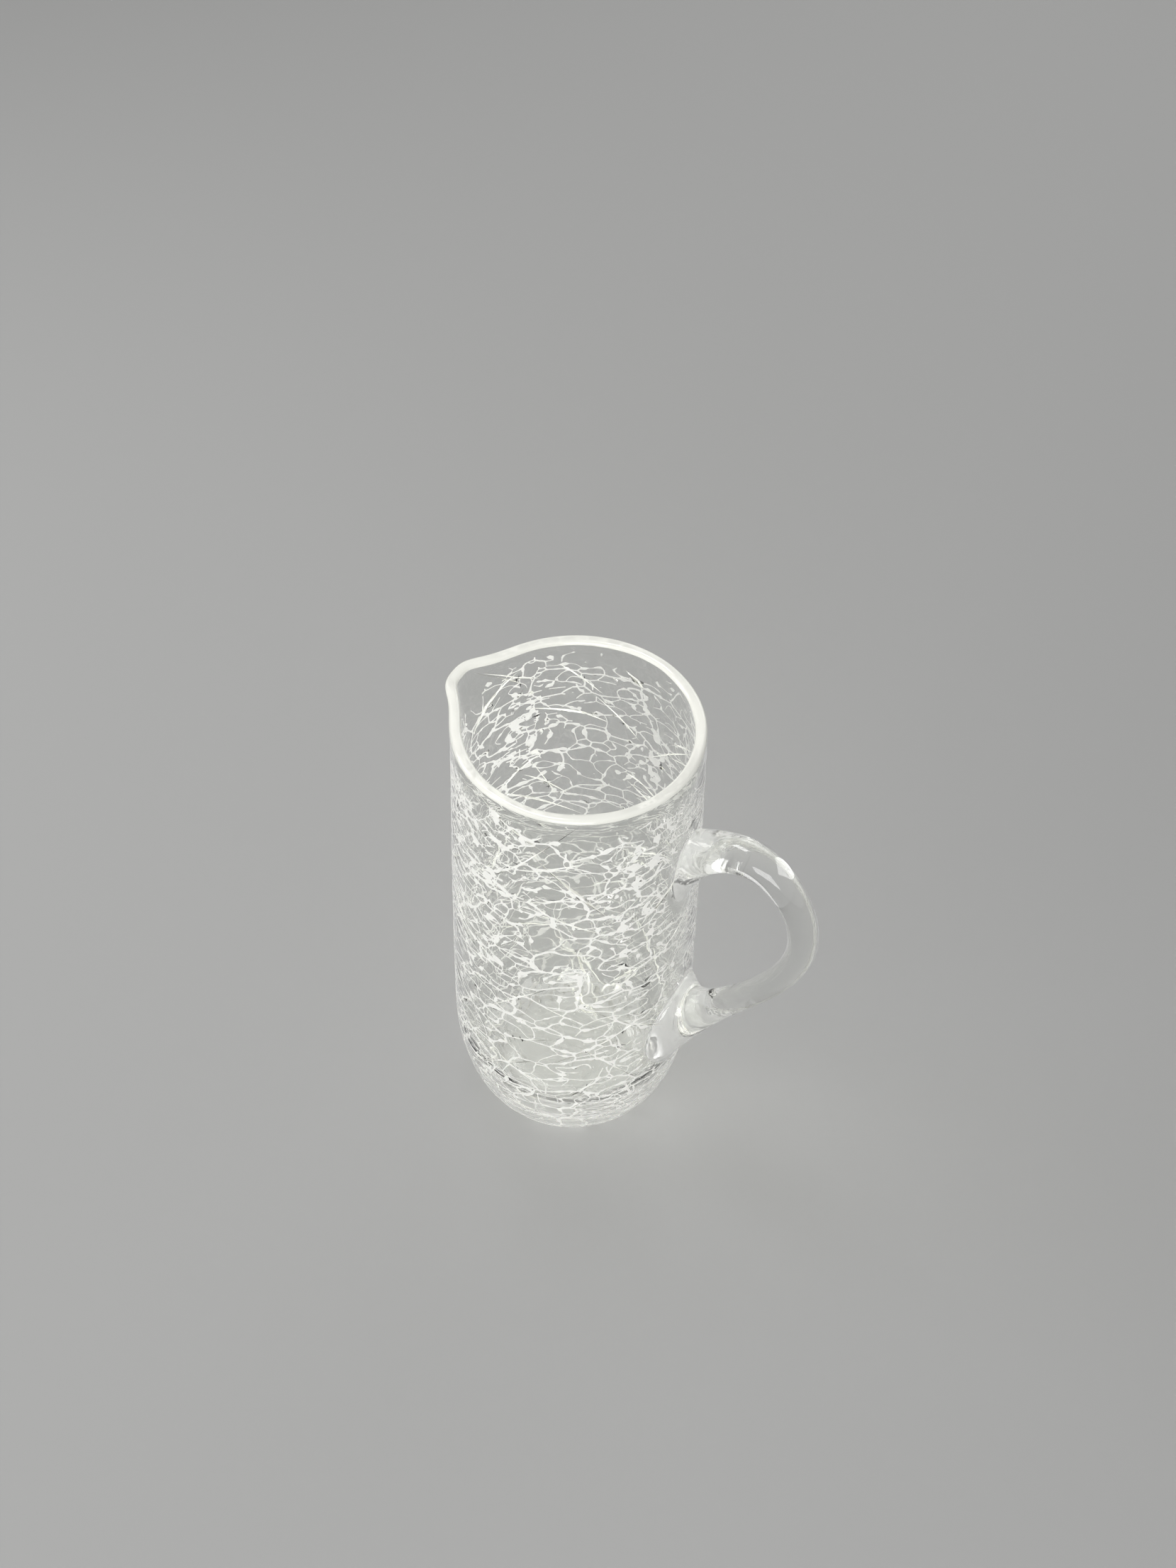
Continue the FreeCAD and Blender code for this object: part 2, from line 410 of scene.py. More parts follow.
    def place(self, turn: float, radius: float, height: float) -> Vector:
        """Where a point of the plain spun form lies once the pouring lip is pulled out.

        Args:
            turn: Angle round the jug from +X.
            radius: Plain radius of the point.
            height: Height of the point.

        Returns:
            The point on the real form.
        """
        outwards = Vector((math.cos(turn), math.sin(turn), 0.0))
        pulled = self.spout_share(height)
        if pulled <= 0.0:
            return outwards * radius + Vector((0.0, 0.0, height))
        around = Vector((-math.sin(turn), math.cos(turn), 0.0))
        aside = half_turned(turn - math.pi)
        from_spout = abs(aside) / self.spout_half_width
        shape = 1.0 / (1.0 + from_spout**self.spout_sharpness)
        base = self.side_radius(height)
        reach = base + self.spout_reach * pulled * shape
        steepness = self.spout_sharpness * from_spout ** (self.spout_sharpness - 1.0) * shape * shape
        slope = -math.copysign(self.spout_reach * pulled * steepness / self.spout_half_width, aside)
        normal = (outwards * reach - around * slope).normalized()
        return outwards * reach - normal * (base - radius) + Vector((0.0, 0.0, height))

    def spin(self, bm: bmesh.types.BMesh) -> None:
        """Spins the half-section into the closed wall and pulls out the pouring lip.

        Args:
            bm: The mesh that the wall is made in.
        """
        self.rows = self.all_rows()
        self.outside_rows = [row for row in self.rows if row.outside]
        row_of = bm.verts.layers.int.new("row")
        turn_of = bm.verts.layers.float.new("turn")
        verts = []
        for index, row in enumerate(self.rows):
            vert = bm.verts.new((row.radius, 0.0, row.height))
            vert[row_of] = index
            verts.append(vert)
        edges = [bm.edges.new(pair) for pair in zip(verts, verts[1:])]
        bmesh.ops.spin(
            bm,
            geom=verts + edges,
            cent=(0, 0, 0),
            axis=(0, 0, 1),
            angle=FULL_TURN,
            steps=self.columns,
            use_merge=True,
        )
        for vert in bm.verts:
            vert[turn_of] = math.atan2(vert.co.y, vert.co.x) % FULL_TURN
        bmesh.ops.remove_doubles(bm, verts=bm.verts, dist=1e-7)
        for vert in bm.verts:
            radius, height = self.uneven_lip(vert[turn_of], self.rows[vert[row_of]])
            vert.co = self.place(vert[turn_of], radius, height)

    def uneven_lip(self, turn: float, row: Row) -> tuple[float, float]:
        """The lip as the flame left it, thicker in some places and dipping a little in others.

        Args:
            turn: Angle round the jug.
            row: The plain row.

        Returns:
            Radius and height of the point.
        """
        near_rim = ease(1.0 - (self.height - row.height) / self.lip_depth)
        if row.radius < 0.5 * self.mouth_radius or near_rim <= 0.0:
            return row.radius, row.height
        spot = Vector((math.cos(turn), math.sin(turn), 0.0))
        inset = (self.side_radius(row.height) - row.radius) / self.lip_thickness
        thicker = sum(swell.at(spot) for swell in self.lip_swells)
        dip = self.lip_dip.amount + self.lip_dip.at(spot)
        return row.radius - thicker * near_rim * min(max(inset, 0.0), 1.0), row.height - dip * near_rim

    def is_outside(self, bm: bmesh.types.BMesh, face: bmesh.types.BMFace) -> bool:
        """Whether every corner of a face lies on the outside of the wall."""
        row_of = bm.verts.layers.int["row"]
        return all(self.rows[vert[row_of]].outside for vert in face.verts)

    def outside_point(self, turn: float, climb: float) -> Vector:
        """Finds a point of the outside.

        Args:
            turn: Angle round the jug.
            climb: Distance up along the wall.

        Returns:
            The point.
        """
        rows = self.outside_rows
        place = min(max(climb / rows[-1].climb, 0.0), 1.0) * (len(rows) - 1)
        low = min(int(place), len(rows) - 2)
        share = place - low
        radius = rows[low].radius * (1.0 - share) + rows[low + 1].radius * share
        height = rows[low].height * (1.0 - share) + rows[low + 1].height * share
        return self.place(turn, radius, height)


@dataclass
class Pad:
    """A flared pad where the hot rod was pressed on the wall."""

    half_width: float
    half_height: float
    sag: float
    flare: float

    def share(self, side: float, up: float) -> float:
        """How far out a point lies in the pad: 1 on its edge."""
        return math.hypot(side / self.half_width, up / self.half_height)


@dataclass
class DrawnHandle:
    """The loop handle: a drawn rod with a pad at each root."""

    body: BlownBody
    line: tuple[tuple[float, float], ...] = (
        (45.3 * MM, 157.5 * MM),
        (52.5 * MM, 166.2 * MM),
        (71.6 * MM, 172.3 * MM),
        (88.9 * MM, 155.9 * MM),
        (56.4 * MM, 76.4 * MM),
        (46.3 * MM, 65.5 * MM),
    )
    rod_sizes: tuple[float, ...] = (7.6 * MM, 5.5 * MM, 4.9 * MM, 5.4 * MM)
    flattening: float = 1.08
    upper: Pad = field(default_factory=lambda: Pad(9.0 * MM, 17.3 * MM, 4.7 * MM, 4.4 * MM))
    lower: Pad = field(default_factory=lambda: Pad(17.8 * MM, 21.5 * MM, 3.0 * MM, 8.0 * MM))
    pad_edge: float = 0.8 * MM
    pad_turn: float = 25.0 * MM
    line_steps: int = 1600
    segments: int = 48
    ring_step: float = 1.9 * MM
    hole_edge_reach: float = 1.5
    eased_reach: float = 1.3
    easing_rounds: int = 4
    # How far along the rod the whitened pad finish and its fainter veil reach, partly painted reflection.
    cloudy: tuple[float, float] = (9.0 * MM, 6.5 * MM)
    veiled: tuple[float, float] = (19.0 * MM, 14.0 * MM)
    tongue_length: float = 25.0 * MM
    tongues: tuple[Waver, ...] = (Waver(8.0 * MM, 0.45, 4.4), Waver(5.0 * MM, 0.2, 7.1))

    def __post_init__(self) -> None:
        """Works out the smooth line of the rod and its length."""
        self.points = np.array(self.line)
        chords = np.hypot(*np.diff(self.points, axis=0).T)
        self.places = np.concatenate([[0.0], np.cumsum(chords)])
        self.slopes = np.stack([self.end_fitted_slopes(self.points[:, k]) for k in range(2)], axis=1)
        self.fine_places = np.linspace(0.0, self.places[-1], self.line_steps + 1)
        spots = np.array([self.at_place(place)[0] for place in self.fine_places])
        self.walked = np.concatenate([[0.0], np.cumsum(np.hypot(*np.diff(spots, axis=0).T))])
        self.length = float(self.walked[-1])

    def end_fitted_slopes(self, values: np.ndarray) -> np.ndarray:
        """Finds the slopes of the smooth curve through some values, whose ends follow the nearest four.

        Args:
            values: One coordinate of the line's points.

        Returns:
            The slope at each point.
        """
        places = self.places
        count = len(places)
        system = np.zeros((count, count))
        right = np.zeros(count)
        system[0, 0] = system[-1, -1] = 1.0
        first = np.polyfit(places[:4], values[:4], 3)
        last = np.polyfit(places[-4:], values[-4:], 3)
        right[0] = np.polyval(np.polyder(first), places[0])
        right[-1] = np.polyval(np.polyder(last), places[-1])
        for i in range(1, count - 1):
            before, after = places[i] - places[i - 1], places[i + 1] - places[i]
            rise_before, rise_after = values[i] - values[i - 1], values[i + 1] - values[i]
            system[i, i - 1 : i + 2] = (1.0 / before, 2.0 * (1.0 / before + 1.0 / after), 1.0 / after)
            right[i] = 3.0 * (rise_before / before**2 + rise_after / after**2)
        return np.linalg.solve(system, right)

    def at_place(self, place: float) -> tuple[np.ndarray, np.ndarray]:
        """Finds a spot on the line.

        Args:
            place: The distance along the line's chords.

        Returns:
            The spot and the line's direction there.
        """
        i = int(min(max(np.searchsorted(self.places, place) - 1, 0), len(self.places) - 2))
        span = self.places[i + 1] - self.places[i]
        t = (place - self.places[i]) / span
        start, end = self.points[i], self.points[i + 1]
        leaving, arriving = self.slopes[i] * span, self.slopes[i + 1] * span
        spot = (2 * t**3 - 3 * t**2 + 1) * start + (t**3 - 2 * t**2 + t) * leaving
        spot = spot + (3 * t**2 - 2 * t**3) * end + (t**3 - t**2) * arriving
        way = (6 * t**2 - 6 * t) * start + (3 * t**2 - 4 * t + 1) * leaving
        way = way + (6 * t - 6 * t**2) * end + (3 * t**2 - 2 * t) * arriving
        return spot, way

    def rod_size(self, share: float) -> float:
        """Finds the half-thickness of the rod.

        Args:
            share: How far along the rod, from 0 to 1.

        Returns:
            The half-thickness there.
        """
        sizes = self.rod_sizes
        place = min(max(share, 0.0), 1.0) * (len(sizes) - 1)
        start = min(int(place), len(sizes) - 2)
        return sizes[start] + (sizes[start + 1] - sizes[start]) * ease(place - start)

    def section_point(self, distance: float, bearing: float) -> Vector:
        """A point on the skin of the handle.

        Args:
            distance: How far along the rod's line the point lies, from the upper root.
            bearing: Angle round the rod, 0 on the side away from the loop's middle at the upper root.

        Returns:
            The point.
        """
        spot, way = self.at_place(float(np.interp(distance, self.walked, self.fine_places)))
        tilt = math.atan2(way[1], way[0])
        tilt = tilt - FULL_TURN if tilt > QUARTER_TURN else tilt
        upper_half = distance < 0.5 * self.length
        from_wall = distance if upper_half else self.length - distance
        pad = self.upper if upper_half else self.lower
        square_on = 0.0 if upper_half else -math.pi
        near = math.exp(-max(from_wall - self.pad_edge, 0.0) / pad.flare)
        turned = square_on + (tilt - square_on) * ease(from_wall / self.pad_turn)
        rod = self.rod_size(distance / self.length)
        slanted = rod / math.cos(tilt - turned)
        half_width = rod * self.flattening + (pad.half_width - rod * self.flattening) * near
        half_height = slanted + (pad.half_height - slanted) * near
        side = half_width * math.sin(bearing)
        belly = self.body.belly_radius
        behind = belly - math.sqrt(belly**2 - side**2)
        up = half_height * math.cos(bearing)
        outwards = spot[0] - math.sin(turned) * up - near * behind
        return Vector((outwards, side, spot[1] - pad.sag * near + math.cos(turned) * up))

    def near_pads(self, spot: Vector, upper_reach: float, lower_reach: float) -> bool:
        """Whether a spot of the wall lies on or near one of the pads.

        Args:
            spot: The spot.
            upper_reach: How far out it may lie from the upper pad, in shares of the pad.
            lower_reach: The same for the lower pad.

        Returns:
            True near a pad.
        """
        if spot.x < 0.0:
            return False
        upper = self.upper.share(spot.y, spot.z - self.line[0][1] + self.upper.sag)
        lower = self.lower.share(spot.y, spot.z - self.line[-1][1] + self.lower.sag)
        return upper < upper_reach or lower < lower_reach

    def open_wall(self, bm: bmesh.types.BMesh, pad: Pad, root: float) -> list[bmesh.types.BMEdge]:
        """Opens the wall under a pad and draws the hole's edge on to the pad's outline.

        Args:
            bm: The wall's mesh.
            pad: The pad that sits there.
            root: Height of the rod's line at the wall.

        Returns:
            The edges of the hole.
        """
        row_of = bm.verts.layers.int["row"]
        rows = self.body.rows
        centre = root - pad.sag
        inside = []
        for face in bm.faces:
            spot = face.calc_center_median()
            if spot.x > 0.0 and pad.share(spot.y, spot.z - centre) < 1.0 and self.body.is_outside(bm, face):
                inside.append(face)
        bmesh.ops.delete(bm, geom=inside, context="FACES")
        rim = []
        for edge in bm.edges:
            corner = edge.verts[0].co
            if edge.is_boundary and corner.x > 0.0:
                if pad.share(corner.y, corner.z - centre) < self.hole_edge_reach:
                    rim.append(edge)
        loop = {vert for edge in rim for vert in edge.verts}
        for vert in loop:
            bearing = math.atan2(vert.co.y / pad.half_width, (vert.co.z - centre) / pad.half_height)
            side = pad.half_width * math.sin(bearing)
            height = centre + pad.half_height * math.cos(bearing)
            radius = self.body.place(0.0, self.body.plain_radius(height), height).x
            vert.co = Vector((math.sqrt(radius**2 - side**2), side, height))
        near = [
            vert
            for vert in bm.verts
            if vert not in loop
            and vert.co.x > 0.0
            and rows[vert[row_of]].outside
            and pad.share(vert.co.y, vert.co.z - centre) < self.eased_reach
        ]
        within_wall = {"use_axis_x": False, "use_axis_y": True, "use_axis_z": True}
        for _ in range(self.easing_rounds):
            bmesh.ops.smooth_vert(bm, verts=near, factor=0.5, **within_wall)
        for vert in near:
            radius = self.body.plain_radius(vert.co.z)
            vert.co.x = math.sqrt(max(radius**2 - vert.co.y**2, 0.0))
        return rim

    def draw(self, bm: bmesh.types.BMesh) -> None:
        """Draws the rod from pad to pad, in one skin with the wall.

        Args:
            bm: The wall's mesh.
        """
        upper_rim = self.open_wall(bm, self.upper, self.line[0][1])
        lower_rim = self.open_wall(bm, self.lower, self.line[-1][1])
        bearing_of = bm.verts.layers.float.new("bearing")
        along_of = bm.verts.layers.float.new("along")
        verts = bmesh.ops.create_circle(bm, segments=self.segments, radius=self.upper.half_width)["verts"]
        edges = list(dict.fromkeys(edge for vert in verts for edge in vert.link_edges))
        first, last = self.pad_edge, self.length - self.pad_edge
        count = int(round((last - first) / self.ring_step))
        for vert in verts:
            vert[bearing_of] = math.atan2(vert.co.y, vert.co.x)
            vert[along_of] = first
            vert.co = self.section_point(first, vert[bearing_of])
        bmesh.ops.bridge_loops(bm, edges=upper_rim + edges)
        for i in range(1, count + 1):
            grown = bmesh.ops.extrude_edge_only(bm, edges=edges)["geom"]
            verts = [item for item in grown if isinstance(item, bmesh.types.BMVert)]
            edges = [item for item in grown if isinstance(item, bmesh.types.BMEdge)]
            edges = [edge for edge in edges if edge.is_boundary]
            for vert in verts:
                vert[along_of] = first + (last - first) * i / count
                vert.co = self.section_point(vert[along_of], vert[bearing_of])
        bmesh.ops.bridge_loops(bm, edges=lower_rim + edges)

    def cloud_of(self, bm: bmesh.types.BMesh, face: bmesh.types.BMFace) -> Finish | None:
        """The whiter finish of a face of the pads or of the rod's ends, which were pressed on and pulled:
        partly cloudy glass and partly painted reflection of the light that brightens the roots.

        Args:
            bm: The jug's mesh.
            face: A face of it.

        Returns:
            The finish, which ends in ragged tongues along the rod, or None on the clear glass.
        """
        along_of = bm.verts.layers.float["along"]
        along = max(vert[along_of] for vert in face.verts)
        if along <= 0.0:
            return None
        bearing = face.verts[0][bm.verts.layers.float["bearing"]]
        streak = Vector((math.cos(bearing), math.sin(bearing), along / self.tongue_length))
        ragged = sum(tongue.at(streak) for tongue in self.tongues)
        for finish, (upper, lower) in ((Finish.PAD_CLOUDY_AND_PAINTED, self.cloudy), (Finish.VEIL_AND_PAINTED, self.veiled)):
            if along < upper + ragged or along > self.length - lower - ragged:
                return finish
        return None


@dataclass(frozen=True)
class Patch:
    """A patch of the wall that has shattered more finely than the rest, or less finely below a strength of 0.

    Its angles are in degrees and its distances up the wall in millimetres.
    """

    turn: float
    climb: float
    half_turn: float
    half_climb: float
    strength: float
    lean: float = 0.0

    def share(self, turn: float, climb: float) -> float:
        """How strongly the patch is felt at a spot.

        Args:
            turn: The spot's angle, in radians.
            climb: How far up the wall it is, in millimetres.

        Returns:
            The strength there.
        """
        middle = math.radians(self.turn + self.lean * (climb - self.climb))
        aside = half_turned(turn - middle)
        up = (climb - self.climb) / self.half_climb
        return self.strength * math.exp(-((aside / math.radians(self.half_turn)) ** 2) - up**2)


@dataclass
class Crackle:
    """The net of cracks in the outside of the wall: long shallow cells whose edges are open cracks."""

    body: BlownBody
    handle: DrawnHandle
    bold_cell: tuple[float, float] = (21.0 * MM, 11.0 * MM)
    fine_cell_top: tuple[float, float] = (7.6 * MM, 4.1 * MM)
    fine_cell_foot: tuple[float, float] = (15.0 * MM, 8.5 * MM)
    cell_spread: float = 0.42
    patches: tuple[Patch, ...] = (
        Patch(-95.0, 172.0, 15.0, 28.0, 1.0),
        Patch(-35.0, 155.0, 20.0, 26.0, 0.7),
        Patch(150.0, 168.0, 13.0, 40.0, 0.7, -0.2),
        Patch(80.0, 150.0, 11.0, 24.0, 0.55),
        Patch(-66.0, 195.0, 14.0, 16.0, -1.6),
        Patch(120.0, 62.0, 70.0, 40.0, -0.95),
        Patch(115.0, 205.0, 14.0, 14.0, -0.9),
    )
    patchiness: Waver = Waver(0.8, 30.0 * MM, 6.2)
    foot_strength: float = 0.9
    foot_climb: float = 9.0 * MM
    foot_reach: float = 9.0 * MM
    splinters: int = 7
    splinter_spread: tuple[float, float] = (4.2, 2.6)
    # Painted glints: the share of cells that get a white spot, and the spot's size.
    glint_spot_share: tuple[float, float] = (0.12, 0.85)
    glint_spot_size: tuple[float, float] = (0.9 * MM, 2.0 * MM)
    warp: float = 2.4 * MM
    warp_size: float = 9.0 * MM
    warp_shares: tuple[float, ...] = (1.0, 0.35)
    warp_seeds: tuple[float, ...] = (2.3, 5.9, 8.1)
    bold_gaps: float = 0.1
    fine_gaps: tuple[float, float] = (0.26, 0.34)
    boldness: tuple[float, float] = (1.0, 0.4)
    boldness_spread: float = 0.55
    clear_top: float = 4.0 * MM
    ragged_top: float = 13.0 * MM
    ragged_edges: tuple[Waver, ...] = (Waver(0.6, 0.4, 3.1), Waver(0.5, 0.12, 9.7))
    clear_spout: float = 7.0 * MM
    clear_spout_half_turn: float = math.radians(20.0)
    clear_foot: float = 3.5 * MM
    uncracked_ground: tuple[float, float] = (1.32, 1.16)
    smooth_ground: tuple[float, float] = (1.3, 1.14)
    smooth_top: float = 3.0 * MM
    crack_easing: tuple[int, float] = (4, 0.62)
    plate_easing: tuple[int, float] = (3, 0.5)
    plate_unevenness: float = 0.1 * MM
    plate_hollows: Waver = Waver(0.5, 5.0 * MM, 2.2)
    plate_fade: float = 12.0 * MM
    half_width: float = 0.43 * MM
    depth: float = 0.18 * MM
    plain_width: float = 0.6
    width_change: Waver = Waver(0.5, 16.0 * MM, 7.7)
    beads: Waver = Waver(1.0, 3.0 * MM, 4.4)
    bead_width: float = 10.0
    width_limits: tuple[float, float] = (0.25, 2.7)
    seed: int = 11
    splinter_salt: int = 5
    glint_spot_salt: int = 31
    crack_salt: int = 7919

    def flat_place(self, turn: float, climb: float) -> Vector:
        """Where a point lies on a plain tube of the belly's radius, on which the cells are laid out."""
        belly = self.body.belly_radius
        return Vector((belly * math.cos(turn), belly * math.sin(turn), climb))

    def middles(
        self, low_cell: tuple[float, float], high_cell: tuple[float, float], salt: int
    ) -> list[tuple[float, float]]:
        """Scatters the middles of the cells in uneven rows that change in size up the wall.

        Args:
            low_cell: Width and height of a cell at the foot.
            high_cell: Width and height of a cell at the rim.
            salt: What sets these draws apart from the others.

        Returns:
            The middles, as angle and distance up the wall.
        """
        dice = random.Random(self.seed + salt)
        top = max(row.climb for row in self.body.rows)
        spread = self.cell_spread
        found = []
        climb = 0.0
        while climb < top:
            share = climb / top
            width = low_cell[0] + (high_cell[0] - low_cell[0]) * share
            rise = low_cell[1] + (high_cell[1] - low_cell[1]) * share
            count = int(round(FULL_TURN * self.body.belly_radius / width))
            start = dice.random()
            for i in range(count):
                turn = FULL_TURN * (i + start + dice.uniform(-spread, spread)) / count
                found.append((turn, climb + rise * dice.uniform(-spread, spread)))
            climb += rise
        return found

    def shatter(self, turn: float, climb: float) -> float:
        """How finely the glass has shattered at a spot.

        Args:
            turn: The spot's angle.
            climb: How far up the wall it is.

        Returns:
            1 in the finest patches, 0 in the plain net and below 0 where it is calm.
        """
        felt = sum(patch.share(turn, climb / MM) for patch in self.patches)
        foot = self.foot_strength * math.exp(-(((climb - self.foot_climb) / self.foot_reach) ** 2))
        patchy = self.patchiness.at(self.flat_place(turn, climb))
        return min(max(felt + foot + patchy, -1.0), 1.0)

    def shattered(self, middles: list[tuple[float, float]]) -> list[tuple[float, float]]:
        """Adds cells where the glass has shattered finely and leaves some out where it is calm.

        Args:
            middles: Middles of the cells.

        Returns:
            The new middles.
        """
        dice = random.Random(self.seed + self.splinter_salt)
        across, up = self.splinter_spread
        kept = []
        for turn, climb in middles:
            fineness = self.shatter(turn, climb)
            if dice.random() >= -fineness:
                kept.append((turn, climb))
            for _ in range(self.splinters):
                if dice.random() < fineness:
                    aside = dice.uniform(-across, across) * MM / self.body.belly_radius
                    kept.append((turn + aside, climb + dice.uniform(-up, up) * MM))
        return kept

    def tree(self, middles: list[tuple[float, float]], stretch: float) -> KDTree:
        """Makes a search tree over the cells' middles.

        Args:
            middles: Middles of the cells.
            stretch: How many times heights count, for cells that are wider than high.

        Returns:
            The tree.
        """
        tree = KDTree(len(middles))
        for index, (turn, climb) in enumerate(middles):
            spot = self.flat_place(turn, climb)
            tree.insert((spot.x, spot.y, spot.z * stretch), index)
        tree.balance()
        return tree

    def top_limit(self, turn: float) -> float:
        """How high the cracks reach.

        Args:
            turn: The angle round the jug.

        Returns:
            The height at which they end, in a ragged edge that is lower at the pouring lip.
        """
        spot = Vector((math.cos(turn), math.sin(turn), 0.0))
        ragged = 0.5 + sum(edge.at(spot) for edge in self.ragged_edges)
        spout = math.exp(-((half_turned(turn - math.pi) / self.clear_spout_half_turn) ** 2))
        return self.body.height - self.clear_top - self.ragged_top * ragged - self.clear_spout * spout

    def in_crackle(self, turn: float, climb: float, spot: Vector) -> bool:
        """Whether the wall is cracked at a spot.

        Args:
            turn: The spot's angle.
            climb: How far up the wall it is.
            spot: The spot itself.

        Returns:
            True in the crackled part of the wall.
        """
        if climb < self.clear_foot or spot.z > self.top_limit(turn):
            return False
        return not self.handle.near_pads(spot, *self.uncracked_ground)

    def warped(self, flat: Vector) -> Vector:
        """Shifts a place, so that the edges of the cells there wander.

        Args:
            flat: The place on the plain tube.

        Returns:
            The shifted place.
        """
        for share in self.warp_shares:
            wavers = [Waver(1.0, share * self.warp_size, seed) for seed in self.warp_seeds]
            flat = flat + self.warp * share * Vector([waver.at(flat) for waver in wavers])
        return flat

    def cells(self, bm: bmesh.types.BMesh) -> dict[bmesh.types.BMFace, tuple[int, int, float]]:
        """Finds the cells that each face of the wall lies in, and paints white glint spots in the middles of
        some cells.

        Args:
            bm: The wall's mesh.

        Returns:
            The bold cell and the fine cell of each face, and how finely the glass has shattered there.
        """
        row_of = bm.verts.layers.int["row"]
        turn_of = bm.verts.layers.float["turn"]
        bold_stretch = self.bold_cell[0] / self.bold_cell[1]
        fine_stretch = self.fine_cell_top[0] / self.fine_cell_top[1]
        bold_tree = self.tree(self.middles(self.bold_cell, self.bold_cell, 1), bold_stretch)
        fine_middles = self.shattered(self.middles(self.fine_cell_foot, self.fine_cell_top, 2))
        fine_tree = self.tree(fine_middles, fine_stretch)
        rows = self.body.rows
        found = {}
        for face in bm.faces:
            if not self.body.is_outside(bm, face):
                continue
            climb = sum(rows[vert[row_of]].climb for vert in face.verts) / len(face.verts)
            turns = [vert[turn_of] for vert in face.verts]
            turn = math.atan2(sum(math.sin(t) for t in turns), sum(math.cos(t) for t in turns))
            if not self.in_crackle(turn, climb, face.calc_center_median()):
                continue
            flat = self.warped(self.flat_place(turn, climb))
            bold = bold_tree.find((flat.x, flat.y, flat.z * bold_stretch))[1]
            _, fine, from_middle = fine_tree.find((flat.x, flat.y, flat.z * fine_stretch))
            fineness = max(self.shatter(turn, climb), 0.0)
            found[face] = (bold, fine, fineness)
            # Painted glints: white spots in the middles of some cells, more of them where the glass has
            # shattered finely.
            dice = random.Random(self.glint_spot_salt * fine + self.seed)
            painted_glint = dice.random() < self.glint_spot_share[0] + self.glint_spot_share[1] * fineness
            if painted_glint and from_middle < dice.uniform(*self.glint_spot_size):
                face.material_index = Finish.CRACK_PAINTED_BRIGHT
        return found

    def cracked_edges(self, bm: bmesh.types.BMesh) -> dict[bmesh.types.BMEdge, float]:
        """Finds the edges of the wall that crack, between two cells.

        Args:
            bm: The wall's mesh.

        Returns:
            Each cracked edge with how bold its crack is.
        """
        cell_of = self.cells(bm)
        cracked = {}
        for edge in bm.edges:
            if len(edge.link_faces) != 2:
                continue
            one, other = (cell_of.get(face) for face in edge.link_faces)
            if one is None or other is None or one[:2] == other[:2]:
                continue
            is_bold = one[0] != other[0]
            kind = 0 if is_bold else 1
            low, high = sorted((one[kind], other[kind]))
            chance = random.Random(low * self.crack_salt + high).random()
            fineness = max(one[2], other[2])
            if chance < (self.bold_gaps if is_bold else self.fine_gaps[0] + self.fine_gaps[1] * fineness):
                continue
            cracked[edge] = self.boldness[kind] + self.boldness_spread * chance
        return cracked

    def straighten(self, bm: bmesh.types.BMesh, cracked: dict[bmesh.types.BMEdge, float]) -> None:
        """Eases the stepped lines of the cracks and of the painted glint spots into smooth ones, within the
        surface.

        Args:
            bm: The wall's mesh.
            cracked: The cracked edges.
        """
        row_of = bm.verts.layers.int["row"]
        turn_of = bm.verts.layers.float["turn"]
        rows = self.body.rows
        spot_of = {}
        for face in bm.faces:
            if self.body.is_outside(bm, face):
                for vert in face.verts:
                    spot_of[vert] = (vert[turn_of], rows[vert[row_of]].climb)
        lines = list(cracked)
        for edge in bm.edges:
            if edge not in cracked and len({face.material_index for face in edge.link_faces}) == 2:
                lines.append(edge)
        on_line = {}
        for edge in lines:
            for vert in edge.verts:
                if vert in spot_of:
                    on_line.setdefault(vert, []).append(edge.other_vert(vert))
        on_line = {vert: others for vert, others in on_line.items() if spot_of.keys() >= set(others)}
        bends = {vert: others for vert, others in on_line.items() if len(others) > 1}
        plates = {}
        for vert in spot_of:
            others = [edge.other_vert(vert) for edge in vert.link_edges]
            too_low = rows[vert[row_of]].climb < 0.5 * self.clear_foot
            too_high = vert.co.z > self.body.height - self.smooth_top
            if vert in on_line or vert.is_boundary or any(other not in spot_of for other in others):
                continue
            if not (too_low or too_high or self.near_pad(vert.co)):
                plates[vert] = others
        for group, (rounds, share) in ((bends, self.crack_easing), (plates, self.plate_easing)):
            for _ in range(rounds):
                moved = {vert: self.eased(spot_of, vert, others, share) for vert, others in group.items()}
                spot_of.update(moved)
        for vert, (turn, climb) in spot_of.items():
            if not self.near_pad(vert.co):
                vert.co = self.body.outside_point(turn, climb)

    def hollow(self, bm: bmesh.types.BMesh) -> None:
        """Sinks the plates between the cracks a little, each a different amount.

        Args:
            bm: The wall's mesh.
        """
        row_of = bm.verts.layers.int["row"]
        rows = self.body.rows
        for vert in bm.verts:
            row = rows[vert[row_of]]
            if row.outside and row.climb > self.clear_foot and not self.near_pad(vert.co):
                sunk = 0.5 + self.plate_hollows.at(vert.co)
                inwards = Vector((-vert.co.x, -vert.co.y, 0.0)).normalized()
                fade = ease((self.body.height - vert.co.z) / self.plate_fade)
                vert.co += inwards * self.plate_unevenness * sunk * fade

    def near_pad(self, spot: Vector) -> bool:
        """Whether the spot belongs to the smooth ground round a pad."""
        return self.handle.near_pads(spot, *self.smooth_ground)

